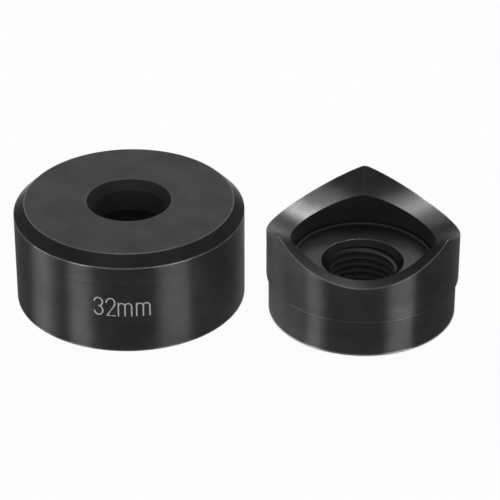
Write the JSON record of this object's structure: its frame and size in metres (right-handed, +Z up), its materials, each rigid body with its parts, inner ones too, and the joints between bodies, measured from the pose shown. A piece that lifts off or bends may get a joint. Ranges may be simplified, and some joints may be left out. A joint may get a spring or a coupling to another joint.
{
  "type": "knockout punch",
  "caption": "Black steel knockout punch with hollow-ground raised points and a threaded web, beside its chamfered cup-shaped die.",
  "frame": {"origin": "under the middle of the pair's box, on the plane that both pieces stand on", "axes": "+X from the die's side to the punch's side, +Z up, parallel to both turning axes, with the punch's points up and the die's mouth down"},
  "size_m": [0.074, 0.04, 0.0181],
  "materials": {
    "die_steel": "satin black oxide over turned steel",
    "punch_steel": "satin black oxide over turned and milled steel"
  },
  "bodies": {
    "root": {"die": "die_steel", "punch": "punch_steel"}
  },
  "joints": []
}
